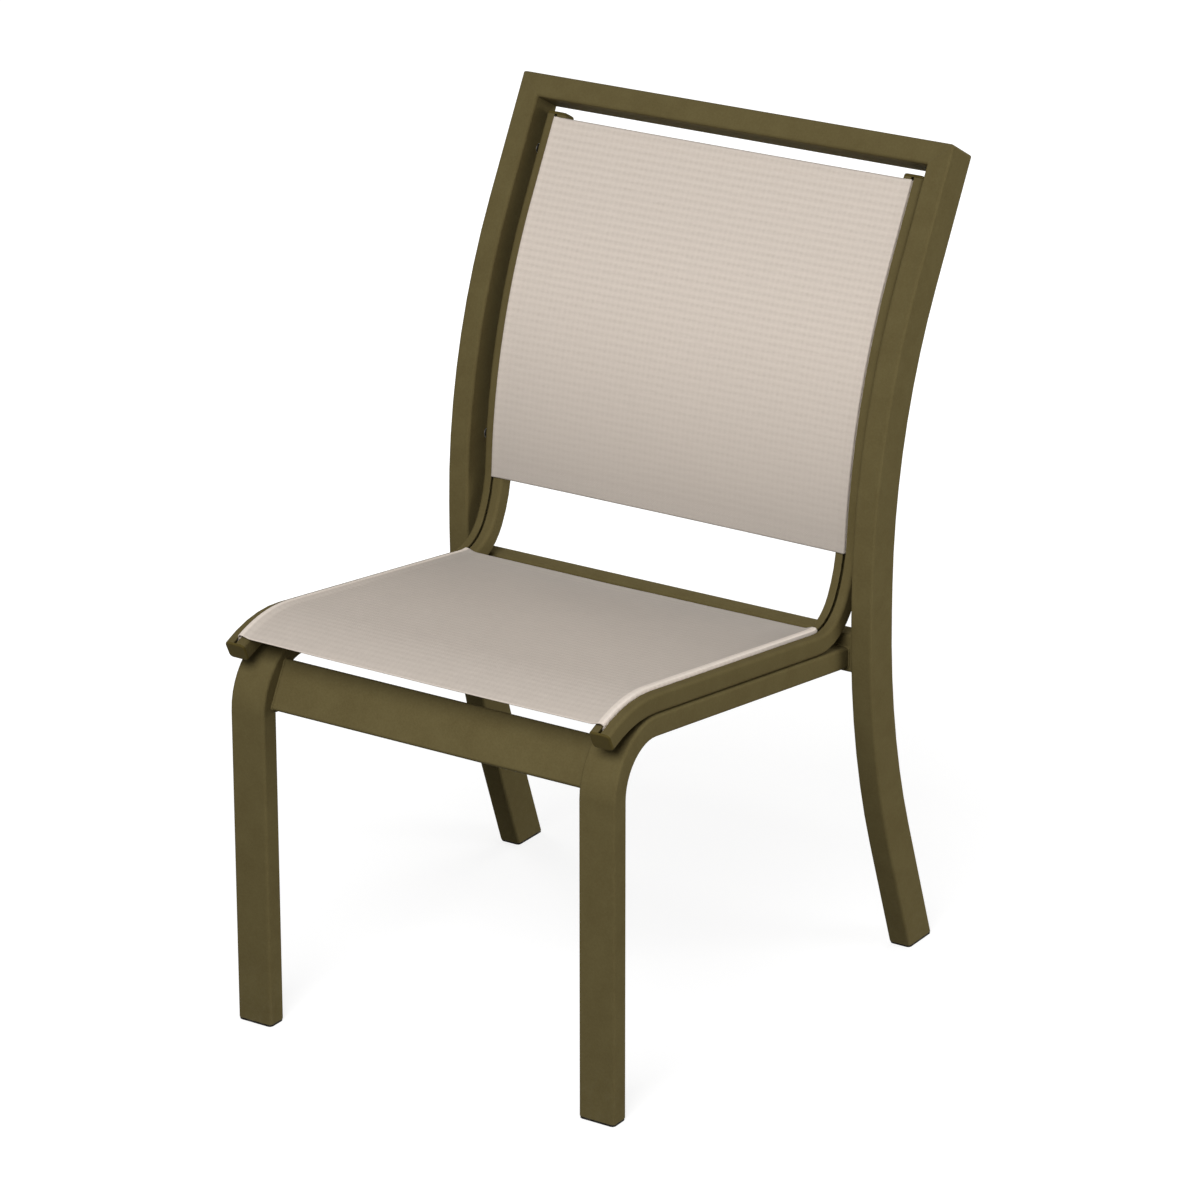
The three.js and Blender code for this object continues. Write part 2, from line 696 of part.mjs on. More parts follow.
function buildSpreader(word, length) {
  const at = stationAt(railLine, length);
  const reach = railInner - fit * 2 - spreaderFlange;
  const stations = [];
  for (let step = 0; step <= spreaderSteps; step += 1) {
    const x = -reach + (2 * reach * step) / spreaderSteps;
    const phase = (Math.PI * x) / reach;
    const dip = (spreaderBow * (1 + Math.cos(phase))) / 2;
    const slope = (-spreaderBow * Math.PI * Math.sin(phase)) / reach / 2;
    const along = across.clone().addScaledVector(at.depth, slope).normalize();
    stations.push({
      point: offsetFrom(at, x, chamberMiddle + dip),
      across: at.along,
      depth: along.clone().cross(at.along).normalize(),
      along,
    });
  }
  const half = spreaderThickness / 2;
  const wide = spreaderWidth / 2;
  const section = tubeSection(-wide, wide, -half, half, spreaderWall, spreaderCorner, bluntSteps);
  add(`${word}_spreader`, sweep(section, stations), paint);

  const flange = new THREE.Shape(roundedBox(-wide, wide, -half, half, spreaderCorner, bluntSteps));
  const inset = spreaderWall + fit * 2;
  const tongue = new THREE.Shape(box(inset - wide, wide - inset, inset - half, half - inset));
  for (const [side, sideWord] of [[-1, 'left'], [1, 'right']]) {
    const frameAt = (x) => ({
      point: offsetFrom(at, x, chamberMiddle),
      across: at.along,
      depth: at.depth.clone().negate(),
      along: across,
    });
    const ordered = (first, second) => (side > 0 ? [first, second] : [second, first]);
    const face = railInner - fit;
    const plate = sweep(flange, ordered(frameAt(side * (face - spreaderFlange)), frameAt(side * face)));
    const held = sweep(tongue, ordered(
      frameAt(side * (face - spreaderFlange - spreaderTongue)),
      frameAt(side * (face - spreaderFlange / 2)),
    ));
    const pinFrom = offsetFrom(at, side * (face - spreaderFlange / 2), chamberMiddle);
    const outwards = across.clone().multiplyScalar(side);
    const pin = drill(spreaderPin / 2, pinFrom, outwards, spreaderFlange / 2 + fit + railWall);
    add(`${word}_spreader_plug_${sideWord}`, join(join(plate, held), pin), blackPlastic);
  }
}

// Bolts from the inner faces of the sling rails, through spacers, into rivet nuts in the posts
function buildBackFasteners(side, word) {
  const { upper, lower, outwards } = boltPlaces(side);
  for (const [level, point] of [['upper', upper], ['lower', lower]]) {
    const shank = railWidth + railInset + legToPost + rivetNutLength;
    place(add(`back_bolt_${level}_${word}`, bolt(shank, outwards), steel),
      point.clone().setX(side * (railInner - fit)));
    const spacerLength = postInner - railOuter - fit * 2 - rivetNutFlange;
    const bore = boltDiameter / 2 + fit;
    place(add(`spacer_${level}_${word}`, ring(spacerDiameter / 2, bore, spacerLength, outwards), blackPlastic),
      point.clone().setX(side * (railOuter + fit)));
    const barrel = bore + rivetNutWall;
    const nut = turned([
      [bore, 0],
      [barrel + rivetNutRim, 0],
      [barrel + rivetNutRim, rivetNutFlange - fit],
      [barrel, rivetNutFlange - fit],
      [barrel, rivetNutLength],
      [bore, rivetNutLength],
      [bore, 0],
    ], outwards);
    place(add(`rivet_nut_${level}_${word}`, nut, steel), point.clone().setX(side * (postInner - rivetNutFlange)));
  }
}

// Bolts up through the side rails into square nuts in the sling rails' chambers
function buildSeatFasteners(side, word) {
  for (const [row, length] of Object.entries(seatBoltLengths)) {
    const at = stationAt(railLine, length);
    const upwards = at.depth.clone().negate();
    const underside = railDepth + railLift + legDepth + fit;
    const nutFace = chamberBottom - fit;
    const shank = underside - nutFace + seatNutThickness + seatNutProud;
    place(add(`seat_bolt_${row}_${word}`, bolt(shank, upwards), steel),
      offsetFrom(at, side * railMiddle, underside));
    const half = seatNutSide / 2;
    const outline = new THREE.Shape(box(-half, half, -half, half));
    outline.holes.push(new THREE.Path(arc(0, 0, boltDiameter / 2 + fit, 0, 360, roundSteps).slice(1)));
    const frameAt = (depth) => ({
      point: offsetFrom(at, side * railMiddle, depth),
      across,
      depth: at.along.clone().normalize(),
      along: upwards,
    });
    const nut = sweep(outline, [frameAt(nutFace), frameAt(nutFace - seatNutThickness)]);
    add(`seat_nut_${row}_${word}`, nut, steel);
  }
}

for (const [side, word] of [[-1, 'left'], [1, 'right']]) {
  buildPost(side, word);
  buildLeg(side, word);
  buildSlingRail(side, word);
  buildCap(`rail_cap_front_${word}`, railLine[0], side * railMiddle, -1, frontCapHeight);
  buildCap(`rail_cap_top_${word}`, railEnd, side * railMiddle, 1, topCapHeight);
  buildBackFasteners(side, word);
  buildSeatFasteners(side, word);
}
buildTopRail();
buildApron();
buildCrossbar();
buildSling('seat', seatClothStart, hipStart + seatClothPastBend, seatSag);
buildSling('back', lumbarEnd - backClothBelowBend, railEnd.length - backClothToTop, backSag);
buildSpreader('seat', spreaderLengths[0]);
buildSpreader('back', spreaderLengths[1]);

// The origin goes to the middle of the chair's footprint, on the floor.
const bounds = new THREE.Box3().setFromObject(chair);
const middle = bounds.getCenter(new THREE.Vector3());
chair.position.set(-middle.x, -middle.y, -bounds.min.z);

export default chair;
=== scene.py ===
import json
import math
from itertools import product

import bpy
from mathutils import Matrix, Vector, noise


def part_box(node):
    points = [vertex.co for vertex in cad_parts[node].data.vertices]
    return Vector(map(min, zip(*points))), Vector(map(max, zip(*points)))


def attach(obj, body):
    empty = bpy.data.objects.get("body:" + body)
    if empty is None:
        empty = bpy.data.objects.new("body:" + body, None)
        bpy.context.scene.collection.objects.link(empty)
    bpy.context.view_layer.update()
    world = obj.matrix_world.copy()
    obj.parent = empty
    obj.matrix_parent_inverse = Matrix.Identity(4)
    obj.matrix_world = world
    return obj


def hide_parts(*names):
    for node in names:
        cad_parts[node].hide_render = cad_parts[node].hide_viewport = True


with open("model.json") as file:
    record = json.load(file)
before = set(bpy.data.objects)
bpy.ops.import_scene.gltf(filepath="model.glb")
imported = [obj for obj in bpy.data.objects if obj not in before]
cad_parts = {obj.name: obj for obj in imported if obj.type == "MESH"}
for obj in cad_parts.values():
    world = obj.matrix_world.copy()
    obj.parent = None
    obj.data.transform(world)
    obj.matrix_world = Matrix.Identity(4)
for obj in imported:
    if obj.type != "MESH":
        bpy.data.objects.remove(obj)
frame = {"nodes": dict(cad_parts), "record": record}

bpy.context.view_layer.update()

# Lengths are in mm and angles in degrees where nothing else is said. MM turns a length into metres.

MM = 0.001
SIDES = {"left": -1, "right": 1}
ACROSS = Vector((1, 0, 0))
BACKWARDS = Vector((0, 1, 0))
FRONT_OF_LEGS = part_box("front_leg_left")[0].y  # in metres

# The line of the sling rail's front and top surface in the side plane, from its front end to its top.
# A positive turn bends it upwards.
RAIL_OVERHANG = 6.3  # in front of the front legs
RAIL_FRONT_HEIGHT = 422.9
RAIL_NOSE_RISE = 26
RAIL_STRETCHES = {
    "nose": {"radius": 155, "turn": -33.7},
    "seat": {"run": 311.8},
    "hip": {"radius": 49, "turn": 67.7},
    "lumbar": {"radius": 124, "turn": 27},
    "back": {"radius": 648, "turn": -25.7},
    "top": {"run": 95.2},
}
RAIL_START = Vector((0, FRONT_OF_LEGS / MM - RAIL_OVERHANG, RAIL_FRONT_HEIGHT))

# From the middle of the chair
RAIL_INNER = 207
RAIL_MIDDLE = 219  # where the slot is
RAIL_OUTER = 231
POST_INNER = 238.6

# Below the sling rail's surface
CHANNEL_DEPTH = 5.26  # of the middle of the keyhole channel
CHAMBER_DEPTH = 14.98  # of the middle of the hollow behind it
FIT = 0.3  # the gap between pieces that fit together

CLOTH_THICKNESS = 0.9
CLOTH_LIFT = 1.05  # of its middle layer above the rail
SEAT_ROLL = {"radius": 3.4, "width": 15}  # the rise and the quarter round at the slot
BACK_ROLL = {"radius": 1.5, "width": 10}
HEM_FOLD = 6.5  # the side hem's width beside the slot
HEM_FADE = 2  # over which its painted highlight begins
YARN_PITCH = 1.3
RIB_PITCH = 8.2
BAND_PITCH = 6.3


# Places on the rail line

def stretch_length(stretch):
    if "run" in stretch:
        return stretch["run"]
    return stretch["radius"] * abs(math.radians(stretch["turn"]))


def length_to_end_of(name):
    """The length along the rail line, from its front end to the end of a stretch."""
    count = list(RAIL_STRETCHES).index(name) + 1
    return sum(stretch_length(each) for each in list(RAIL_STRETCHES.values())[:count])


def along(heading):
    return Vector((0, math.cos(heading), math.sin(heading)))


def out(heading):
    """Square to the rail line, on the cloth's side."""
    return Vector((0, -math.sin(heading), math.cos(heading)))


def rail_place(length):
    """The point on the rail line at a length from its front end, and its heading there in radians."""
    point = RAIL_START
    heading = math.radians(RAIL_NOSE_RISE)
    for stretch in RAIL_STRETCHES.values():
        part = min(length, stretch_length(stretch))
        if "run" in stretch:
            point = point + along(heading) * part
        else:
            side = math.copysign(1, stretch["turn"])
            centre = point + out(heading) * side * stretch["radius"]
            heading += side * part / stretch["radius"]
            point = centre - out(heading) * side * stretch["radius"]
        length -= part
        if length <= 0:
            break
    return point, heading


def beside_rail(length, x, lift):
    """A place in metres, from a length along the rail, a distance across and a height above the rail's surface."""
    point, heading = rail_place(length)
    return (point + ACROSS * x + out(heading) * lift) * MM


# Node trees. Their measures are in metres.

def feed(tree, socket, value):
    """Links a socket to another node's output, or sets it to a plain value."""
    if isinstance(value, bpy.types.NodeSocket):
        tree.links.new(value, socket)
    else:
        socket.default_value = value


def add_node(tree, kind, inputs=None, **settings):
    node = tree.nodes.new(kind)
    for name, value in settings.items():
        setattr(node, name, value)
    for name, value in (inputs or {}).items():
        feed(tree, node.inputs[name], value)
    return node


def calc(tree, operation, *values, clamp=False):
    node = add_node(tree, "ShaderNodeMath", operation=operation, use_clamp=clamp)
    for socket, value in zip(node.inputs, values):
        feed(tree, socket, value)
    return node.outputs[0]


def vector_calc(tree, operation, first, second=(0, 0, 0)):
    return add_node(tree, "ShaderNodeVectorMath", {0: first, 1: second}, operation=operation).outputs


def spread(tree, value, low, high, to_low=0.0, to_high=1.0):
    """Maps low to high onto to_low to to_high, and holds the ends."""
    inputs = {"Value": value, "From Min": low, "From Max": high, "To Min": to_low, "To Max": to_high}
    return add_node(tree, "ShaderNodeMapRange", inputs).outputs["Result"]


def between(tree, mask, low, high):
    """From one value to another as a mask goes from 0 to 1."""
    return spread(tree, mask, 0.0, 1.0, low, high)


def mix_colours(tree, share, first, second):
    node = add_node(tree, "ShaderNodeMix", data_type="RGBA")
    for socket, value in zip((node.inputs[0], node.inputs[6], node.inputs[7]), (share, first, second)):
        feed(tree, socket, value)
    return node.outputs[2]


def lay_over(tree, colour, over, mask, strength):
    """A colour with another laid over it where a mask is 1, at a strength."""
    return mix_colours(tree, calc(tree, "MULTIPLY", mask, strength), colour, over)


def z_of(tree, vector):
    return add_node(tree, "ShaderNodeSeparateXYZ", {"Vector": vector}).outputs["Z"]


NOISE_RANGE = (0.3, 0.7)  # which holds most of a noise
GRAIN_RANGE = (0.2, 0.9)  # which holds most of the surface grain


def noise_at(tree, place, scale, detail=2.0, roughness=0.5):
    inputs = {"Vector": place, "Scale": scale, "Detail": detail, "Roughness": roughness}
    return add_node(tree, "ShaderNodeTexNoise", inputs).outputs["Fac"]


def new_group(name, inputs, outputs):
    """A shader node group. Gives its tree, its input node's sockets and its output node's sockets."""
    tree = bpy.data.node_groups.new(name, "ShaderNodeTree")
    for label, value in inputs.items():
        kind = "NodeSocketVector" if value is None else "NodeSocketFloat"
        socket = tree.interface.new_socket(label, in_out="INPUT", socket_type=kind)
        if value is not None:
            socket.default_value = value
    for label in outputs:
        tree.interface.new_socket(label, in_out="OUTPUT", socket_type="NodeSocketFloat")
    given = tree.nodes.new("NodeGroupInput").outputs
    result = tree.nodes.new("NodeGroupOutput").inputs
    return tree, given, result


def place_group(tree, group, **values):
    """Places a group with its own values, named with _ for each space, and gives its outputs."""
    node = add_node(tree, "ShaderNodeGroup", node_tree=group)
    for label, value in values.items():
        feed(tree, node.inputs[label.replace("_", " ")], value)
    return node.outputs


def surface_grain_group():
    """Fine grain and wide clouds of a sprayed, moulded or plated surface."""
    tree, given, result = new_group(
        "surface grain", {"Place": None, "Grain size": 0.0012, "Cloud size": 0.02}, ["Grain", "Clouds"]
    )
    fine_scale = calc(tree, "DIVIDE", 1.0, given["Grain size"])
    fine = noise_at(tree, given["Place"], fine_scale, detail=3.0, roughness=0.6)
    pebble_scale = calc(tree, "DIVIDE", 0.6, given["Grain size"])
    pebbles = add_node(
        tree, "ShaderNodeTexVoronoi", {"Vector": given["Place"], "Scale": pebble_scale, "Smoothness": 0.7},
        feature="SMOOTH_F1",
    ).outputs["Distance"]
    feed(tree, result["Grain"], calc(tree, "MULTIPLY_ADD", pebbles, 0.6, calc(tree, "MULTIPLY", fine, 0.5)))
    cloud_scale = calc(tree, "DIVIDE", 1.0, given["Cloud size"])
    clouds = noise_at(tree, given["Place"], cloud_scale, detail=4.0, roughness=0.62)
    feed(tree, result["Clouds"], spread(tree, clouds, *NOISE_RANGE))
    return tree


FLAT_AGREEMENT = 0.995  # the cosine between the bevelled and the plain normal, on a flat face
EDGE_AGREEMENT = 0.86  # and on an edge


def edge_wear_group():
    """Where the coat is thin or rubbed, in patches along the edges."""
    tree, given, result = new_group("edge wear", {"Place": None, "Reach": 0.0012, "Patch size": 0.006}, ["Wear"])
    bevelled = add_node(tree, "ShaderNodeBevel", {"Radius": given["Reach"]}, samples=6).outputs["Normal"]
    plain = tree.nodes.new("ShaderNodeNewGeometry").outputs["Normal"]
    agreement = vector_calc(tree, "DOT_PRODUCT", bevelled, plain)["Value"]
    edge = spread(tree, agreement, FLAT_AGREEMENT, EDGE_AGREEMENT)
    patch_scale = calc(tree, "DIVIDE", 1.0, given["Patch size"])
    patches = noise_at(tree, given["Place"], patch_scale, detail=3.0, roughness=0.6)
    feed(tree, result["Wear"], calc(tree, "MULTIPLY", edge, spread(tree, patches, 0.3, 0.65, to_low=0.35)))
    return tree


def settled_dust_group():
    """How far the surface faces up, the dust that settles there, and splashes near the ground."""
    tree, given, result = new_group(
        "settled dust", {"Place": None, "Splash height": 0.12}, ["Upward", "Dust", "Splash"]
    )
    normal = tree.nodes.new("ShaderNodeNewGeometry").outputs["Normal"]
    upward = spread(tree, z_of(tree, normal), 0.35, 1.0)
    patches = noise_at(tree, given["Place"], scale=55.0, detail=4.0, roughness=0.65)
    feed(tree, result["Upward"], upward)
    feed(tree, result["Dust"], calc(tree, "MULTIPLY", upward, spread(tree, patches, *NOISE_RANGE)))
    height_share = calc(tree, "DIVIDE", z_of(tree, given["Place"]), given["Splash height"])
    specks = noise_at(tree, given["Place"], scale=140.0, detail=5.0, roughness=0.7)
    low_down = spread(tree, height_share, 1.0, 0.0)
    feed(tree, result["Splash"], calc(tree, "MULTIPLY", low_down, spread(tree, specks, 0.45, 0.72)))
    return tree


YARN_ROUNDNESS = 0.6  # the power that flattens each yarn's wave
GAP_BELOW = 0.45  # the height of the yarns' crown where the gaps between them begin


def sling_weave_group():
    """The slings' plain weave, ribs across, bands along, slubs, streaks and side hems, from places on the cloth."""
    tree, given, result = new_group(
        "sling weave",
        {"Cloth": None, "Yarn pitch": YARN_PITCH * MM, "Rib pitch": RIB_PITCH * MM, "Band pitch": BAND_PITCH * MM},
        ["Height", "Gaps", "Ribs", "Bands", "Streaks", "Slubs", "Hems"],
    )
    cloth = add_node(tree, "ShaderNodeSeparateXYZ", {"Vector": given["Cloth"]}).outputs

    def half_turns(value, pitch):
        return calc(tree, "MULTIPLY", calc(tree, "DIVIDE", value, pitch), math.pi)

    def rounded(wave):
        return calc(tree, "POWER", calc(tree, "ABSOLUTE", wave), YARN_ROUNDNESS)

    def uneven_wave(value, pitch, drift_scale, drift_reach):
        """A wave of one pitch that drifts a little to and fro over the cloth."""
        drift = calc(tree, "MULTIPLY", noise_at(tree, given["Cloth"], drift_scale), drift_reach)
        return calc(tree, "COSINE", calc(tree, "MULTIPLY_ADD", half_turns(value, pitch), 2.0, drift))

    def stretched_noise(across, length, detail=2.0, roughness=0.5):
        place = vector_calc(tree, "MULTIPLY", given["Cloth"], (across, length, 1.0))[0]
        return noise_at(tree, place, scale=1.0, detail=detail, roughness=roughness)

    warp = calc(tree, "SINE", half_turns(cloth["X"], given["Yarn pitch"]))
    weft = calc(tree, "SINE", half_turns(cloth["Y"], given["Yarn pitch"]))
    crossing = calc(tree, "MULTIPLY", warp, weft)
    crown = calc(tree, "MULTIPLY", rounded(warp), rounded(weft))
    feed(tree, result["Height"], calc(tree, "MULTIPLY_ADD", crossing, 0.25, calc(tree, "MULTIPLY", crown, 0.75)))
    feed(tree, result["Gaps"], spread(tree, crown, GAP_BELOW, 0.0))

    patches = noise_at(tree, given["Cloth"], scale=75.0, detail=4.0, roughness=0.65)
    contrast = spread(tree, patches, *NOISE_RANGE, to_low=0.2, to_high=0.5)
    ribs = uneven_wave(cloth["Y"], given["Rib pitch"], drift_scale=9.0, drift_reach=1.6)
    feed(tree, result["Ribs"], calc(tree, "MULTIPLY_ADD", ribs, contrast, 0.5))
    bands = uneven_wave(cloth["X"], given["Band pitch"], drift_scale=14.0, drift_reach=1.2)
    feed(tree, result["Bands"], calc(tree, "MULTIPLY_ADD", bands, contrast, 0.5))

    streaks = stretched_noise(70.0, 520.0, detail=3.0, roughness=0.6)
    feed(tree, result["Streaks"], spread(tree, streaks, *NOISE_RANGE))
    slubs = calc(tree, "ADD", stretched_noise(420.0, 45.0), stretched_noise(300.0, 300.0))
    feed(tree, result["Slubs"], spread(tree, slubs, 0.7, 1.3))
    from_middle = calc(tree, "ABSOLUTE", cloth["X"])
    hem_from = (RAIL_MIDDLE - HEM_FOLD) * MM
    feed(tree, result["Hems"], spread(tree, from_middle, hem_from, hem_from + HEM_FADE * MM))
    return tree


surface_grain = surface_grain_group()
edge_wear = edge_wear_group()
settled_dust = settled_dust_group()
sling_weave = sling_weave_group()


# Finishes

def new_material(name):
    material = bpy.data.materials.new(name)
    material.use_nodes = True
    return material, material.node_tree, material.node_tree.nodes["Principled BSDF"]


def object_place(tree):
    return tree.nodes.new("ShaderNodeTexCoord").outputs["Object"]


def bump(tree, height, distance, strength, **inputs):
    inputs = {"Height": height, "Distance": distance, "Strength": strength, **inputs}
    return add_node(tree, "ShaderNodeBump", inputs).outputs["Normal"]


def grained_colour(tree, grain, dark, light, grain_share, cloud_share):
    clouds = calc(tree, "MULTIPLY", grain["Clouds"], cloud_share)
    return mix_colours(tree, calc(tree, "MULTIPLY_ADD", grain["Grain"], grain_share, clouds, clamp=True), dark, light)


COAT_DUST = (0.42, 0.38, 0.30, 1)
GROUND_DIRT = (0.30, 0.27, 0.21, 1)
SCUFF_LIGHTENING = 2.2
PLASTIC_UNEVENNESS = 0.06  # of its roughness, either way


def powder_coat(name, dark, light, worn_and_highlit, grain_size):
    """Olive brown powder coat: a fine pebbled skin, cloudy in tone, lighter along the edges, partly for a thinner
    coat and partly as a painted highlight.
    """
    material, tree, shader = new_material(name)
    place = object_place(tree)
    grain = place_group(tree, surface_grain, Place=place, Grain_size=grain_size, Cloud_size=0.028)
    wear = place_group(tree, edge_wear, Place=place, Reach=0.0016)["Wear"]
    dust = place_group(tree, settled_dust, Place=place)
    colour = grained_colour(tree, grain, dark, light, grain_share=0.9, cloud_share=0.5)
    # The lighter edge colour stands partly for a thinner, rubbed coat and partly for painted highlights along the
    # rounded edges.
    colour = lay_over(tree, colour, worn_and_highlit, wear, strength=0.32)
    settled = calc(tree, "MULTIPLY", dust["Dust"], 0.015)
    dusty = calc(tree, "ADD", settled, calc(tree, "MULTIPLY", dust["Splash"], 0.04))
    feed(tree, shader.inputs["Base Color"], mix_colours(tree, dusty, colour, COAT_DUST))
    rough = spread(tree, grain["Grain"], *GRAIN_RANGE, to_low=0.66, to_high=0.82)
    feed(tree, shader.inputs["Roughness"], calc(tree, "MULTIPLY_ADD", wear, -0.08, rough))
    feed(tree, shader.inputs["Normal"], bump(tree, grain["Grain"], distance=0.00012, strength=0.5))
    shader.inputs["Specular IOR Level"].default_value = 0.02
    return material


def moulded_plastic(name, dark, light, roughness, splash=0.0):
    """Moulded plastic with a fine spark-eroded texture, lighter where it is scuffed, splashed near the ground."""
    material, tree, shader = new_material(name)
    place = object_place(tree)
    grain = place_group(tree, surface_grain, Place=place, Grain_size=0.0006, Cloud_size=0.012)
    wear = place_group(tree, edge_wear, Place=place, Reach=0.0007)["Wear"]
    scuffed = tuple(min(1.0, channel * SCUFF_LIGHTENING) for channel in light[:3]) + (1,)
    colour = grained_colour(tree, grain, dark, light, grain_share=0.5, cloud_share=0.4)
    colour = lay_over(tree, colour, scuffed, wear, strength=0.3)
    if splash:
        dust = place_group(tree, settled_dust, Place=place, Splash_height=0.02)
        colour = lay_over(tree, colour, GROUND_DIRT, dust["Splash"], strength=splash)
    feed(tree, shader.inputs["Base Color"], colour)
    rough = between(tree, grain["Clouds"], roughness - PLASTIC_UNEVENNESS, roughness + PLASTIC_UNEVENNESS)
    feed(tree, shader.inputs["Roughness"], rough)
    feed(tree, shader.inputs["Normal"], bump(tree, grain["Grain"], distance=0.00005, strength=0.5))
    shader.inputs["Specular IOR Level"].default_value = 0.03
    return material


def zinc_plating(name, dull, bright, rubbed):
    """Zinc plated steel, cloudy and rubbed bright along the edges."""
    material, tree, shader = new_material(name)
    place = object_place(tree)
    grain = place_group(tree, surface_grain, Place=place, Grain_size=0.0004, Cloud_size=0.004)
    wear = place_group(tree, edge_wear, Place=place, Reach=0.0004)["Wear"]
    colour = mix_colours(tree, grain["Clouds"], dull, bright)
    feed(tree, shader.inputs["Base Color"], mix_colours(tree, wear, colour, rubbed))
    rough = spread(tree, grain["Grain"], *GRAIN_RANGE, to_low=0.26, to_high=0.42)
    feed(tree, shader.inputs["Roughness"], rough)
    feed(tree, shader.inputs["Normal"], bump(tree, grain["Grain"], distance=0.00002, strength=0.4))
    shader.inputs["Metallic"].default_value = 1.0
    return material


MESH_COLOURS = {
    "yarn": (0.640, 0.557, 0.480, 1),
    "streak": (0.735, 0.647, 0.567, 1),
    "slub": (0.630, 0.550, 0.476, 1),
    "raised yarn": (0.820, 0.730, 0.648, 1),
    "gap": (0.400, 0.335, 0.280, 1),
    # The painted highlight on the side hems.
    "hem highlight": (0.850, 0.765, 0.685, 1),
    # The colour of the cloth's painted shade and its dust.
    "shade and dust": (0.42, 0.38, 0.34, 1),
}
# Painted shade: the cloth is darkened near where the seat meets the back, as if in its shade, more on the back than
# on the seat.
HIP_SHADE_PLACE = beside_rail(length_to_end_of("seat") + 30, 0, 10)
HIP_SHADE_NEAR = 0.04  # metres, within which the painted shade is darkest
HIP_SHADE_FAR = 0.36  # metres, where the painted shade ends


def distance_from_hip(tree):
    """How far in metres, in the side plane, from where the seat meets the back, around which the cloth gets painted
    shade.
    """
    offset = vector_calc(tree, "SUBTRACT", object_place(tree), HIP_SHADE_PLACE)[0]
    in_side_plane = vector_calc(tree, "MULTIPLY", offset, (0, 1, 1))[0]
    return vector_calc(tree, "LENGTH", in_side_plane)["Value"]


def woven_mesh(name):
    """Beige coated mesh. The seat has fainter ribs. Where the cloth faces up and near the hip it is darkened with
    painted shade, with a little real dust, and the side hems get a painted highlight where they face up.
    """
    material, tree, shader = new_material(name)
    cloth = add_node(tree, "ShaderNodeUVMap", uv_map="cloth").outputs["UV"]
    weave = place_group(tree, sling_weave, Cloth=cloth)
    dust = place_group(tree, settled_dust, Place=object_place(tree))

    def by_facing(on_back, on_seat):
        return between(tree, dust["Upward"], on_back, on_seat)

    yarn = mix_colours(tree, weave["Streaks"], MESH_COLOURS["yarn"], MESH_COLOURS["streak"])
    yarn = lay_over(tree, yarn, MESH_COLOURS["slub"], weave["Slubs"], strength=0.5)
    ribbing = by_facing(on_back=0.66, on_seat=0.34)
    yarn = lay_over(tree, yarn, MESH_COLOURS["raised yarn"], weave["Ribs"], strength=ribbing)
    yarn = lay_over(tree, yarn, MESH_COLOURS["raised yarn"], weave["Bands"], strength=0.32)
    yarn = lay_over(tree, yarn, MESH_COLOURS["gap"], weave["Gaps"], strength=0.35)
    # Painted highlight: the side hems are lighter where they face up, as if lit, and the painted shade is left off
    # them.
    hem_highlight = calc(tree, "MULTIPLY", weave["Hems"], spread(tree, dust["Upward"], 0.2, 0.5))
    yarn = lay_over(tree, yarn, MESH_COLOURS["hem highlight"], hem_highlight, strength=0.52)

    # Painted shade near the hip, stronger on the back's lower part than on the seat.
    near_hip = spread(tree, distance_from_hip(tree), HIP_SHADE_NEAR, HIP_SHADE_FAR, 1.0, 0.0)
    hip_shade = calc(tree, "MULTIPLY", calc(tree, "POWER", near_hip, 2.0), by_facing(on_back=0.88, on_seat=0.50))
    # Painted shade where the cloth faces up, with a little real dust in patches.
    upward_shade_and_dust = calc(tree, "MULTIPLY_ADD", dust["Dust"], 0.06, calc(tree, "MULTIPLY", dust["Upward"], 0.42))
    # The painted shade and the dust together darken the cloth towards one colour.
    shade_and_dust = calc(tree, "ADD", upward_shade_and_dust, hip_shade, clamp=True)
    shade_and_dust = calc(tree, "MULTIPLY", shade_and_dust, calc(tree, "SUBTRACT", 1.0, hem_highlight))
    feed(tree, shader.inputs["Base Color"], mix_colours(tree, shade_and_dust, yarn, MESH_COLOURS["shade and dust"]))
    feed(tree, shader.inputs["Roughness"], between(tree, weave["Gaps"], 0.72, 0.9))
    ribbed = bump(tree, weave["Ribs"], distance=0.00012, strength=0.6)
    woven = bump(tree, weave["Height"], distance=0.00025, strength=0.6, Normal=ribbed)
    feed(tree, shader.inputs["Normal"], woven)
    shader.inputs["Specular IOR Level"].default_value = 0.2
    return material


finishes = {
    "frame_coat": powder_coat(
        "frame coat", dark=(0.105, 0.080, 0.032, 1), light=(0.138, 0.111, 0.047, 1), worn_and_highlit=(0.225, 0.182, 0.092, 1),
        grain_size=0.0013,
    ),
    "rail_coat": powder_coat(
        "rail coat", dark=(0.100, 0.077, 0.030, 1), light=(0.130, 0.104, 0.044, 1), worn_and_highlit=(0.215, 0.173, 0.086, 1),
        grain_size=0.0010,
    ),
    "sling_mesh": woven_mesh("sling mesh"),
    "cap_plastic": moulded_plastic(
        "cap plastic", dark=(0.076, 0.057, 0.016, 1), light=(0.102, 0.078, 0.024, 1), roughness=0.5
    ),
    "black_plastic": moulded_plastic(
        "black plastic", dark=(0.010, 0.009, 0.007, 1), light=(0.018, 0.016, 0.013, 1), roughness=0.6, splash=0.35
    ),
    "spline_plastic": moulded_plastic(
        "spline plastic", dark=(0.66, 0.63, 0.56, 1), light=(0.74, 0.71, 0.64, 1), roughness=0.4
    ),
    "plated_steel": zinc_plating(
        "plated steel", dull=(0.46, 0.46, 0.44, 1), bright=(0.62, 0.62, 0.61, 1), rubbed=(0.72, 0.72, 0.71, 1)
    ),
}


# The frame's own nodes, with smooth bends and round corners

BEND_ANGLE = 36  # faces that meet at less than this are one round surface
SEAM = 0.01  # how far apart points on a seam between faces may be


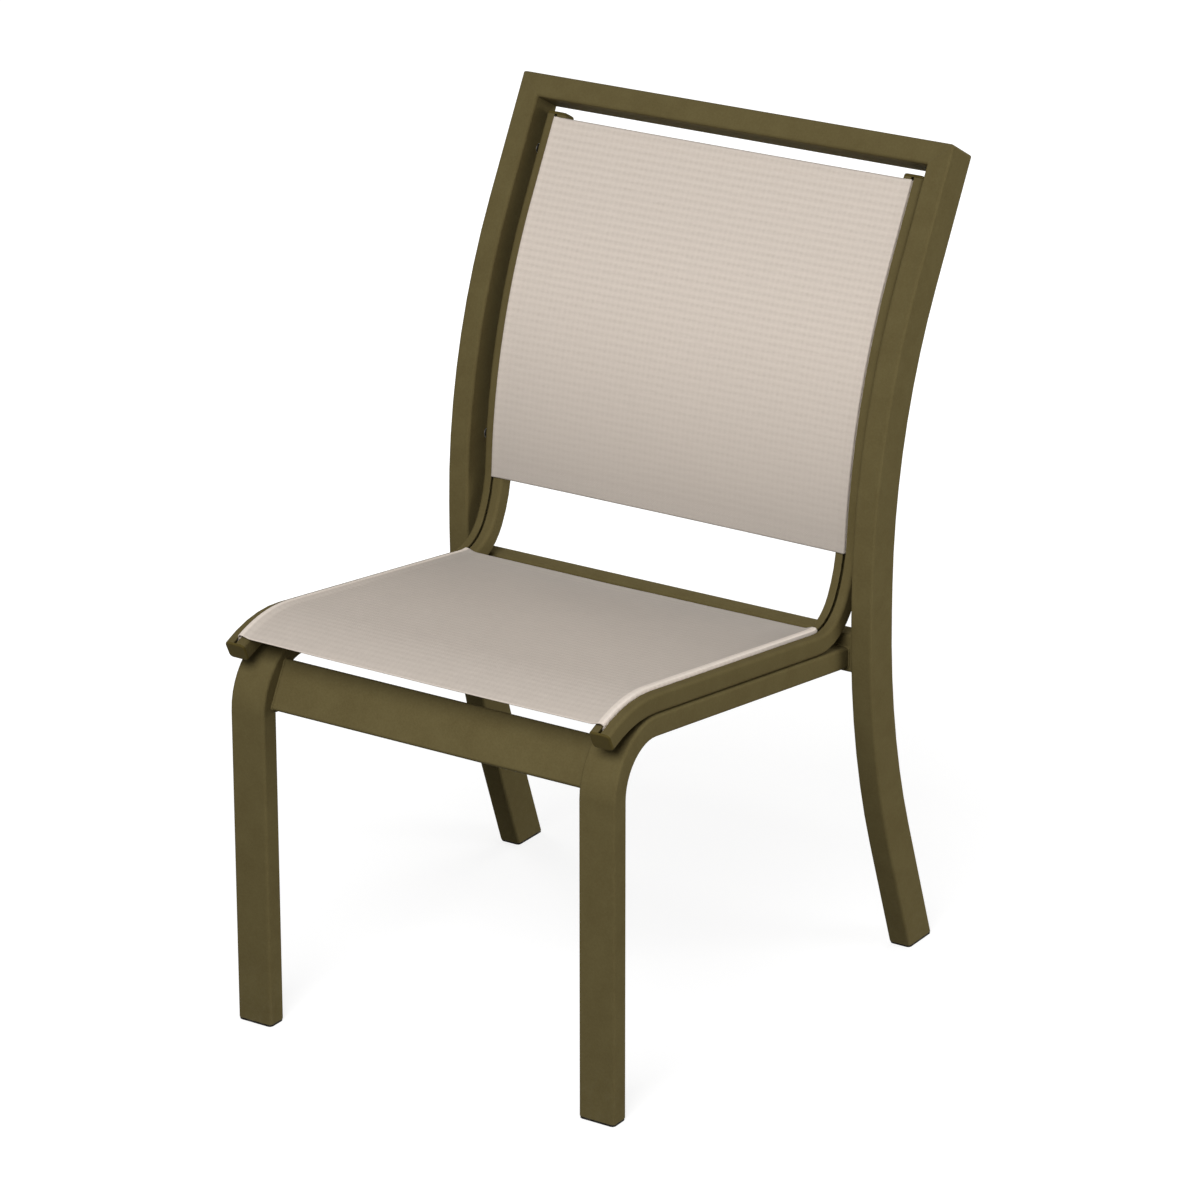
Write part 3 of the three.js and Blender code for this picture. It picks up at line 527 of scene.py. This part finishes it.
def smooth_corners_tree():
    """Welds the seams between faces and shades smooth across the bends and round corners."""
    tree = bpy.data.node_groups.new("smooth corners", "GeometryNodeTree")
    tree.is_modifier = True
    for way in ("INPUT", "OUTPUT"):
        tree.interface.new_socket("Geometry", in_out=way, socket_type="NodeSocketGeometry")
    mesh = tree.nodes.new("NodeGroupInput").outputs[0]
    angle = tree.nodes.new("GeometryNodeInputMeshEdgeAngle").outputs["Unsigned Angle"]
    sharp = calc(tree, "GREATER_THAN", angle, math.radians(BEND_ANGLE))
    for kind, inputs, settings in (
        ("GeometryNodeRemoveAttribute", {"Name": "custom_normal"}, {}),
        ("GeometryNodeMergeByDistance", {"Distance": SEAM * MM}, {}),
        ("GeometryNodeSetShadeSmooth", {}, {"domain": "FACE"}),
        ("GeometryNodeSetShadeSmooth", {"Selection": sharp, "Shade Smooth": False}, {"domain": "EDGE"}),
    ):
        mesh = add_node(tree, kind, {"Geometry": mesh, **inputs}, **settings).outputs[0]
    feed(tree, tree.nodes.new("NodeGroupOutput").inputs[0], mesh)
    return tree


smooth_corners = smooth_corners_tree()


def finish_node(name, slot):
    node = frame["nodes"][name]
    for material_slot in node.material_slots:
        material_slot.link = "OBJECT"
        material_slot.material = finishes[slot]
    node.modifiers.new("smooth corners", "NODES").node_group = smooth_corners
    weighted = node.modifiers.new("flat faces stay flat", "WEIGHTED_NORMAL")
    weighted.keep_sharp = True
    weighted.weight = 80


for part in frame["record"]["subparts"]:
    finish_node(part["node"], part["material_slot"])


# Meshes

def new_piece(name, points, faces, slot, smooth=True):
    mesh = bpy.data.meshes.new(name)
    mesh.from_pydata([tuple(point) for point in points], [], faces)
    mesh.validate()
    for polygon in mesh.polygons:
        polygon.use_smooth = smooth
    mesh.materials.append(finishes[slot])
    piece = bpy.data.objects.new(name, mesh)
    bpy.context.scene.collection.objects.link(piece)
    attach(piece, "root")
    return piece


def grid_faces(rows, columns, closed_across=False, closed_along=False):
    faces = []
    for row in range(rows if closed_along else rows - 1):
        below = (row + 1) % rows
        for column in range(columns if closed_across else columns - 1):
            beside = (column + 1) % columns
            faces.append((
                row * columns + column,
                row * columns + beside,
                below * columns + beside,
                below * columns + column,
            ))
    return faces


def end_faces(rows, columns):
    """The two faces that close the ends of a tube of points."""
    return tuple(range(columns)), tuple(range((rows - 1) * columns, rows * columns))


def smoothstep(value):
    value = min(1.0, max(0.0, value))
    return value * value * (3 - 2 * value)


# Slings

ROD_RADIUS = 2.2
LAYER_GAP = 0.1  # between the cloth's way down the slot and its way back up
SLOT_SIDE = (CLOTH_THICKNESS + LAYER_GAP) / 2  # from the slot's middle to the cloth's middle layer in it
ROLL_FOOT = 0.5  # where the quarter round ends, above the rail
HEM_END_DEPTH = 0.8  # where the cloth's end comes back up into the slot
FLAT_STEPS, RISE_STEPS, ROLL_STEPS, ROD_STEPS = 44, 7, 7, 18
ROWS_PER_RIB = 6


def flat_part(flat_to, sag):
    profile = []
    for step in range(FLAT_STEPS):
        x = flat_to * step / FLAT_STEPS
        profile.append((x, CLOTH_LIFT - sag * (1 - (x / flat_to) ** 2)))
    return profile


def roll_part(flat_to, radius):
    """The rise to the roll and its quarter round down to the slot."""
    middle = RAIL_MIDDLE + SLOT_SIDE - radius
    top = radius + ROLL_FOOT
    profile = []
    for step in range(RISE_STEPS):
        share = step / RISE_STEPS
        lift = CLOTH_LIFT + (top - CLOTH_LIFT) * smoothstep(share)
        profile.append((flat_to + (middle - flat_to) * share, lift))
    for step in range(ROLL_STEPS + 1):
        angle = math.pi / 2 * (1 - step / ROLL_STEPS)
        profile.append((middle + radius * math.cos(angle), top - radius * (1 - math.sin(angle))))
    return profile


def rod_part():
    """Round the spline rod in the channel, and back up into the slot."""
    radius = ROD_RADIUS + FIT + CLOTH_THICKNESS / 2
    opening = math.asin(SLOT_SIDE / radius)
    profile = []
    for step in range(ROD_STEPS + 1):
        angle = opening + (2 * math.pi - 2 * opening) * step / ROD_STEPS
        profile.append((RAIL_MIDDLE + radius * math.sin(angle), -CHANNEL_DEPTH + radius * math.cos(angle)))
    profile.append((RAIL_MIDDLE - SLOT_SIDE, -HEM_END_DEPTH))
    return profile


def sling_profile(sag, roll):
    """A sling's middle layer across, as (x, lift): round one rod, over the seat or back, and round the other rod."""
    flat_to = RAIL_MIDDLE - roll["width"]
    half = flat_part(flat_to, sag) + roll_part(flat_to, roll["radius"]) + rod_part()
    return [(-x, lift) for x, lift in reversed(half[1:])] + half


ON_TOP = 0.6  # cloth above this lift is outside the slot
RIB_HEIGHT = 0.05
RIBS_ON_ROLL = 0.4  # the share of their height that is left on the rolls
ROLL_FADE = 6  # the width over which the flat's relief fades out beside the rail
END_HEM = {"width": 13, "height": 0.25, "step": 1.5}
END_EDGE = {"width": 1.6, "drop": 0.5}
SLACK = {"height": 0.35, "across": 70, "along": 110}


def cloth_relief(x, length, start, end):
    """What ribs, end hems and a slight slackness add to a sling's lift."""
    flat = 1 - smoothstep((abs(x) - RAIL_INNER) / ROLL_FADE)
    ribs = RIB_HEIGHT * (math.cos(2 * math.pi * length / RIB_PITCH) - 1)
    from_end = min(length - start, end - length)
    hem = END_HEM["height"] * (1 - smoothstep((from_end - END_HEM["width"]) / END_HEM["step"]))
    edge = END_EDGE["drop"] * (1 - smoothstep(from_end / END_EDGE["width"]))
    slack = SLACK["height"] * noise.noise(Vector((x / SLACK["across"], length / SLACK["along"], start)))
    return flat * (ribs + (hem - edge) + slack) + (1 - flat) * RIBS_ON_ROLL * ribs


def build_sling(word, start, end, sag, roll):
    profile = sling_profile(sag, roll)
    widths = [0.0]
    for before, after in zip(profile, profile[1:]):
        widths.append(widths[-1] + math.dist(before, after))
    rows = round((end - start) / (RIB_PITCH / ROWS_PER_RIB)) + 1
    lengths = [start + (end - start) * row / (rows - 1) for row in range(rows)]
    points = []
    for length in lengths:
        point, heading = rail_place(length)
        for x, lift in profile:
            if lift > ON_TOP or abs(x) < RAIL_INNER:
                lift += cloth_relief(x, length, start, end)
            points.append((point + ACROSS * x + out(heading) * lift) * MM)
    piece = new_piece(f"{word}_sling_cloth", points, grid_faces(rows, len(profile)), "sling_mesh")
    uv = piece.data.uv_layers.new(name="cloth")
    for loop in piece.data.loops:
        row, column = divmod(loop.vertex_index, len(profile))
        uv.data[loop.index].uv = ((widths[column] - widths[-1] / 2) * MM, (lengths[row] - start) * MM)
    solid = piece.modifiers.new("cloth thickness", "SOLIDIFY")
    solid.thickness = CLOTH_THICKNESS * MM
    solid.offset = 0
    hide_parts(f"{word}_sling")


build_sling("seat", start=8, end=length_to_end_of("seat") + 11, sag=1.0, roll=SEAT_ROLL)
build_sling(
    "back", start=length_to_end_of("lumbar") - 11.3, end=length_to_end_of("top") - 3.1, sag=2.0, roll=BACK_ROLL
)


# Bolts, spacers and rivet nuts. Each is turned from rings of (radius, height along its axis).

ROUND_STEPS = 48
ROUND_ANGLE = 32  # faces of a turned piece that meet at less than this are shaded as one
MIDDLE_HOLE = 0.01  # what a ring of no radius keeps, so that its points stay apart


def hexagon_radius(angle):
    sixth = math.pi / 3
    return SOCKET_HALF_WIDTH / math.cos((angle % sixth) - sixth / 2)


def turned(name, rings, start, axis, slot, node):
    """A turned piece. Where a ring's radius is the word hexagon, the ring is the bolt's hexagon socket."""
    axis = axis.normalized()
    first = axis.orthogonal().normalized()
    second = axis.cross(first)
    hollow = rings[0] == rings[-1]
    if hollow:
        rings = rings[:-1]
    points = []
    for radius, height in rings:
        for step in range(ROUND_STEPS):
            angle = 2 * math.pi * step / ROUND_STEPS
            reach = hexagon_radius(angle) if radius == "hexagon" else max(radius, MIDDLE_HOLE)
            offset = first * (reach * math.cos(angle)) + second * (reach * math.sin(angle)) + axis * height
            points.append(start + offset * MM)
    faces = grid_faces(len(rings), ROUND_STEPS, closed_across=True, closed_along=hollow)
    if not hollow:
        start_face, end_face = end_faces(len(rings), ROUND_STEPS)
        faces += [start_face[::-1], end_face]
    piece = new_piece(name, points, faces, slot)
    piece.data.set_sharp_from_angle(angle=math.radians(ROUND_ANGLE))
    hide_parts(node)


HEAD_RADIUS = 5
HEAD_HEIGHT = 3
HEAD_DOME_ANGLES = (60, 50, 40, 30, 20, 11)
HEAD_EDGE = ((0, 0.35), (0.1, 0.1), (0.25, 0))  # in from the head's radius, and above its underside
SOCKET_HALF_WIDTH = 1.5  # across its flats
SOCKET_DEPTH = 1.6
SOCKET_MOUTH = {"radius": 1.95, "depth": 0.15}
SHANK_RADIUS = 2.5
SHANK_POINT = 0.6


def bolt_rings(shank):
    """A button-head bolt. Its head's underside is at height 0."""
    socket_floor = SOCKET_DEPTH - HEAD_HEIGHT
    rings = [
        (0, socket_floor), ("hexagon", socket_floor), ("hexagon", SOCKET_MOUTH["depth"] - HEAD_HEIGHT),
        (SOCKET_MOUTH["radius"], -HEAD_HEIGHT),
    ]
    rise = HEAD_HEIGHT / math.sin(math.radians(HEAD_DOME_ANGLES[0]))
    for angle in HEAD_DOME_ANGLES:
        rings.append((HEAD_RADIUS * math.cos(math.radians(angle)), -rise * math.sin(math.radians(angle))))
    rings += [(HEAD_RADIUS - inwards, -above) for inwards, above in HEAD_EDGE]
    rings += [(SHANK_RADIUS, 0), (SHANK_RADIUS, shank - SHANK_POINT), (SHANK_RADIUS - SHANK_POINT, shank)]
    return rings + [(0, shank)]


BORE = 2.8  # radius
SPACER_RADIUS = 5.75
SPACER_EDGE = 0.5


def spacer_rings(length):
    outer, edge = SPACER_RADIUS, SPACER_EDGE
    return [
        (BORE, 0), (outer - edge, 0), (outer, edge), (outer, length - edge), (outer - edge, length),
        (BORE, length), (BORE, 0),
    ]


NUT_WALL = 1.4
NUT_LENGTH = 11
NUT_POINT = 0.4
NUT_RIM = {"width": 1.2, "thickness": 0.7, "edge": 0.2}


def rivet_nut_rings():
    barrel = BORE + NUT_WALL
    rim = barrel + NUT_RIM["width"]
    edge = NUT_RIM["edge"]
    thickness = NUT_RIM["thickness"]
    return [
        (BORE, 0), (rim - edge, 0), (rim, edge), (rim, thickness), (barrel, thickness),
        (barrel, NUT_LENGTH - NUT_POINT), (barrel - NUT_POINT, NUT_LENGTH), (BORE, NUT_LENGTH), (BORE, 0),
    ]


BACK_BOLT_LENGTH = 42.6
SPACER_LENGTH = 6
NUT_STAND = 1  # of the rivet nut's rim out of the post
back_bolts_along = {"upper": length_to_end_of("top") - 37, "lower": length_to_end_of("lumbar") + 31}
for (level, along_rail), (word, side) in product(back_bolts_along.items(), SIDES.items()):
    for kind, rings, x, slot in (
        ("back_bolt", bolt_rings(BACK_BOLT_LENGTH), RAIL_INNER - FIT, "plated_steel"),
        ("spacer", spacer_rings(SPACER_LENGTH), RAIL_OUTER + FIT, "black_plastic"),
        ("rivet_nut", rivet_nut_rings(), POST_INNER - NUT_STAND, "plated_steel"),
    ):
        node = f"{kind}_{level}_{word}"
        turned(f"{node}_round", rings, beside_rail(along_rail, side * x, -CHAMBER_DEPTH), ACROSS * side, slot, node)

SEAT_BOLT_LENGTH = 30.6
SEAT_BOLT_HEAD_DEPTH = 45.3  # under the side rail, below the sling rail's surface
seat_bolts_behind_nose = {"front": 50, "rear": 245}
for (row, behind), (word, side) in product(seat_bolts_behind_nose.items(), SIDES.items()):
    along_rail = length_to_end_of("nose") + behind
    head_at = beside_rail(along_rail, side * RAIL_MIDDLE, -SEAT_BOLT_HEAD_DEPTH)
    upwards = out(rail_place(along_rail)[1])
    node = f"seat_bolt_{row}_{word}"
    turned(f"{node}_round", bolt_rings(SEAT_BOLT_LENGTH), head_at, upwards, "plated_steel", node)


# Welds

END_FLATNESS = 0.05  # how far a point of a tube's end may lie behind its furthest one
BEAD_RADIUS = 1.3
BEAD_STEP = 0.8
BEAD_SIDES = 10
LEAST_BEAD_STEPS = 12
SAME_POINT_DIGITS = 6  # of metres
RIPPLE = {"height": 0.1, "turn": 2.1}  # a share of the radius, and radians for each step
WANDER = {"pace": 0.07, "width": 0.22, "shift": 0.15}  # noise for each step, and shares of the radius
MITRE_GAP = 0.45
MITRE_LAYERS = (-0.3, 0.5, 1.2)  # shares of the gap


def outline_of(points, first, second):
    """The convex outline of points in the plane of two directions, in order."""
    places = {}
    for point in points:
        places[tuple(round(point.dot(way), SAME_POINT_DIGITS) for way in (first, second))] = point
    flat = sorted(places.items())

    def turn(a, b, c):
        return (b[0] - a[0]) * (c[1] - a[1]) - (b[1] - a[1]) * (c[0] - a[0])

    def chain(ordered):
        kept = []
        for place, point in ordered:
            while len(kept) > 1 and turn(kept[-2][0], kept[-1][0], place) <= 1e-12:
                kept.pop()
            kept.append((place, point))
        return kept[:-1]

    return [point for _, point in chain(flat) + chain(reversed(flat))]


def end_outline(node, direction):
    """The outline of a tube's end that faces a direction."""
    points = [vertex.co.copy() for vertex in frame["nodes"][node].data.vertices]
    furthest = max(point.dot(direction) for point in points)
    first = direction.orthogonal().normalized()
    ends = [point for point in points if point.dot(direction) > furthest - END_FLATNESS * MM]
    return outline_of(ends, first, direction.cross(first))


def evenly_along(outline, step):
    """Points at even steps round a closed outline."""
    corners = outline + outline[:1]
    total = sum((after - before).length for before, after in zip(corners, corners[1:]))
    count = max(LEAST_BEAD_STEPS, round(total / step))
    points, walked, target = [], 0.0, 0.0
    for before, after in zip(corners, corners[1:]):
        span = (after - before).length
        while target < walked + span - 1e-9 and len(points) < count:
            points.append(before.lerp(after, (target - walked) / span))
            target += total / count
        walked += span
    return points


def weld_bead(name, node, direction, seed):
    """A rippled bead round the end of a tube that meets a flat face."""
    radius = BEAD_RADIUS * MM
    path = evenly_along(end_outline(node, direction), BEAD_STEP * MM)
    points = []
    for index, point in enumerate(path):
        forward = (path[(index + 1) % len(path)] - path[index - 1]).normalized()
        outwards = forward.cross(direction).normalized()
        wander = noise.noise(Vector((index * WANDER["pace"], seed, 0)))
        ripple = RIPPLE["height"] * math.cos(index * RIPPLE["turn"])
        size = radius * (1 + ripple + WANDER["width"] * wander)
        centre = point + direction * FIT / 2 * MM + outwards * WANDER["shift"] * wander * radius
        for step in range(BEAD_SIDES):
            angle = 2 * math.pi * step / BEAD_SIDES
            points.append(centre + (outwards * math.cos(angle) + direction * math.sin(angle)) * size)
    faces = grid_faces(len(path), BEAD_SIDES, closed_across=True, closed_along=True)
    new_piece(name, points, faces, "frame_coat")


def mitre_weld(word, side):
    """The fill of a mitred corner at the top, ground flush."""
    top_heading = rail_place(length_to_end_of("top"))[1]
    facing = (ACROSS * side - along(top_heading)).normalized()
    outline = end_outline("top_rail", facing)
    points = [point + facing * share * (MITRE_GAP * MM) for share in MITRE_LAYERS for point in outline]
    faces = grid_faces(len(MITRE_LAYERS), len(outline), closed_across=True)
    start_face, end_face = end_faces(len(MITRE_LAYERS), len(outline))
    faces += [start_face, end_face[::-1]]
    new_piece(f"mitre_weld_{word}", points, faces, "frame_coat", smooth=False)


for index, (word, side) in enumerate(SIDES.items()):
    weld_bead(f"apron_weld_{word}", "front_apron", ACROSS * side, seed=index)
    weld_bead(f"crossbar_weld_{word}", "rear_crossbar", ACROSS * side, seed=index + 2)
    weld_bead(f"side_rail_weld_{word}", f"front_leg_{word}", BACKWARDS, seed=index + 4)
for word, side in SIDES.items():
    mitre_weld(word, side)


# Floor, light and camera. Their measures are in metres.

FLOOR_REACH = 12
FLOOR_DROP = 0.0002  # below the glides
FLOOR_GREYS = (0.12, 0.14)  # as it lights the chair
FLOOR_PALE = 0.30  # its own colour where it is seen, on which the shadow falls
FLOOR_GLOW_NEAR = {"distance": 0.6, "level": 0.80}
FLOOR_GLOW_FAR = {"distance": 1.6, "level": 1.0}
WORLD_LEVEL = 0.175  # as it lights the chair
CHAIR_MIDDLE = Vector((0, 0, 0.45))


def grey(level):
    return level, level, level, 1


def seen_share(tree):
    """1 for what the camera sees directly, in gloss or through glass, and 0 for what lights the chair."""
    path = tree.nodes.new("ShaderNodeLightPath").outputs
    seen = calc(tree, "MAXIMUM", path["Is Camera Ray"], path["Is Glossy Ray"])
    return calc(tree, "MAXIMUM", seen, path["Is Transmission Ray"])


def floor_material():
    """White with the chair's faint shadow where it is seen, and dull grey as it lights the chair."""
    material = bpy.data.materials.new("studio floor")
    material.use_nodes = True
    tree = material.node_tree
    tree.nodes.clear()
    clouds = noise_at(tree, object_place(tree), scale=6.0, detail=3.0)
    greys = mix_colours(tree, clouds, grey(FLOOR_GREYS[0]), grey(FLOOR_GREYS[1]))
    dull = add_node(tree, "ShaderNodeBsdfDiffuse", {"Color": greys})
    pale = add_node(tree, "ShaderNodeBsdfDiffuse", {"Color": grey(FLOOR_PALE)})
    distance = vector_calc(tree, "LENGTH", object_place(tree))["Value"]
    near, far = FLOOR_GLOW_NEAR, FLOOR_GLOW_FAR
    level = spread(tree, distance, near["distance"], far["distance"], near["level"], far["level"])
    glow = add_node(tree, "ShaderNodeEmission", {"Color": grey(1), "Strength": level})
    bright = add_node(tree, "ShaderNodeAddShader", {0: pale.outputs[0], 1: glow.outputs[0]})
    either = add_node(
        tree, "ShaderNodeMixShader", {0: seen_share(tree), 1: dull.outputs[0], 2: bright.outputs[0]}
    )
    add_node(tree, "ShaderNodeOutputMaterial", {"Surface": either.outputs[0]})
    return material


def build_floor():
    corners = [(x * FLOOR_REACH, y * FLOOR_REACH, 0) for x, y in ((-1, -1), (1, -1), (1, 1), (-1, 1))]
    mesh = bpy.data.meshes.new("studio_floor")
    mesh.from_pydata(corners, [], [(0, 1, 2, 3)])
    mesh.materials.append(floor_material())
    floor = bpy.data.objects.new("studio_floor", mesh)
    floor.location.z = -FLOOR_DROP
    bpy.context.scene.collection.objects.link(floor)


def build_world():
    world = bpy.data.worlds.new("studio")
    world.use_nodes = True
    tree = world.node_tree
    background = tree.nodes["Background"]
    background.inputs["Color"].default_value = grey(1)
    feed(tree, background.inputs["Strength"], between(tree, seen_share(tree), WORLD_LEVEL, 1.0))
    bpy.context.scene.world = world


def direction_to(azimuth, elevation):
    """From the chair. Azimuth 0 is its front and 90 its right."""
    a, e = math.radians(azimuth), math.radians(elevation)
    return Vector((math.sin(a) * math.cos(e), -math.cos(a) * math.cos(e), math.sin(e)))


def look_from(thing, azimuth, elevation):
    """Turns a lamp or the camera to face the chair from a direction."""
    thing.rotation_mode = "QUATERNION"
    thing.rotation_quaternion = direction_to(azimuth, elevation).to_track_quat("Z", "Y")


def soft_light(name, azimuth, elevation, distance, size, level, in_gloss=False):
    """An area light aimed at the chair. Its level is the share of their own colour that faces turned to it show."""
    light = bpy.data.lights.new(name, "AREA")
    light.shape = "DISK"
    light.size = size
    light.energy = level * (math.pi * distance) ** 2
    lamp = bpy.data.objects.new(name, light)
    lamp.location = CHAIR_MIDDLE + direction_to(azimuth, elevation) * distance
    look_from(lamp, azimuth, elevation)
    lamp.visible_camera = False
    lamp.visible_glossy = in_gloss
    bpy.context.scene.collection.objects.link(lamp)


def build_camera(place, azimuth, elevation, lens):
    camera = bpy.data.objects.new("camera", bpy.data.cameras.new("camera"))
    camera.data.sensor_width = 36
    camera.data.lens = lens
    camera.data.clip_end = 60
    camera.location = place
    look_from(camera, azimuth, elevation)
    bpy.context.scene.collection.objects.link(camera)
    bpy.context.scene.camera = camera


build_floor()
build_world()
soft_light("key", azimuth=14, elevation=38, distance=4.2, size=2.6, level=0.855, in_gloss=True)
soft_light("right fill", azimuth=112, elevation=3, distance=3.4, size=2.0, level=0.58)
soft_light("left fill", azimuth=-112, elevation=3, distance=3.4, size=2.0, level=0.48)
soft_light("back fill", azimuth=180, elevation=24, distance=3.4, size=2.0, level=0.20)
build_camera((2.78893, FRONT_OF_LEGS - 3.94930, 2.35257), azimuth=33.087, elevation=20.849, lens=158.226)
bpy.context.scene.view_settings.view_transform = "Standard"

bpy.context.view_layer.update()
